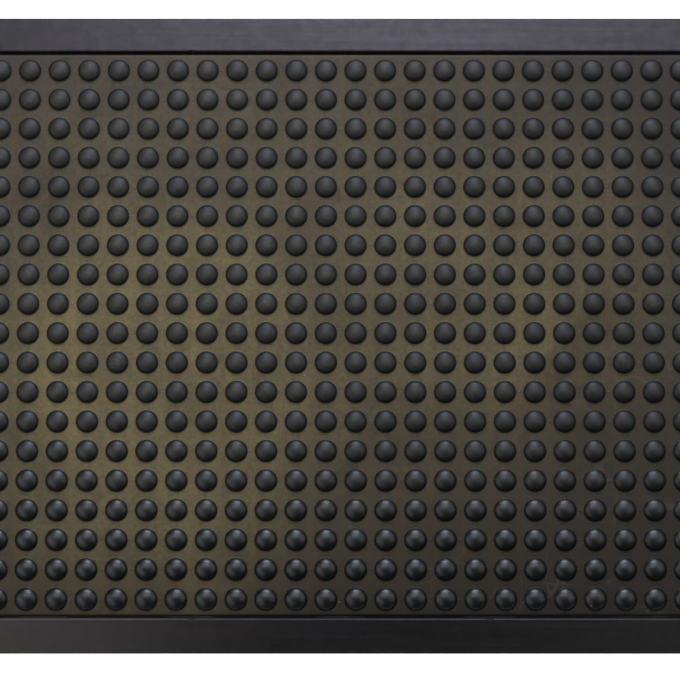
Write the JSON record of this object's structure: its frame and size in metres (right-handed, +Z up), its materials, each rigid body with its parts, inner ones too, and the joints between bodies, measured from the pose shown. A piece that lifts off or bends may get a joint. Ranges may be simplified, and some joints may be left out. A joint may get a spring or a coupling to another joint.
{
  "type": "door mat",
  "caption": "Black moulded rubber anti-fatigue door mat: a pad covered in round cushioning bubbles, framed by bevelled edge ramps that lift off.",
  "frame": {"origin": "on the floor under the centre of the mat", "axes": "+X along the mat's length to the right, +Y along its width to the rear, +Z up"},
  "size_m": [0.914, 0.6, 0.014],
  "materials": {
    "pad_rubber": "matt moulded rubber with a faint olive-brown bloom on the floor between the bubbles",
    "ramp_rubber": "smooth moulded rubber with a soft sheen"
  },
  "bodies": {
    "pad": {"bubble_pad": "pad_rubber"},
    "front_ramp": {"front_ramp": "ramp_rubber"},
    "right_ramp": {"right_ramp": "ramp_rubber"},
    "rear_ramp": {"rear_ramp": "ramp_rubber"},
    "left_ramp": {"left_ramp": "ramp_rubber"}
  },
  "joints": [
    {"name": "front_ramp_lift", "type": "slide", "parent": "pad", "child": "front_ramp", "axis": [0, 0, 1], "range_m": [0, 0.03]},
    {"name": "right_ramp_lift", "type": "slide", "parent": "pad", "child": "right_ramp", "axis": [0, 0, 1], "range_m": [0, 0.03]},
    {"name": "rear_ramp_lift", "type": "slide", "parent": "pad", "child": "rear_ramp", "axis": [0, 0, 1], "range_m": [0, 0.03]},
    {"name": "left_ramp_lift", "type": "slide", "parent": "pad", "child": "left_ramp", "axis": [0, 0, 1], "range_m": [0, 0.03]}
  ]
}
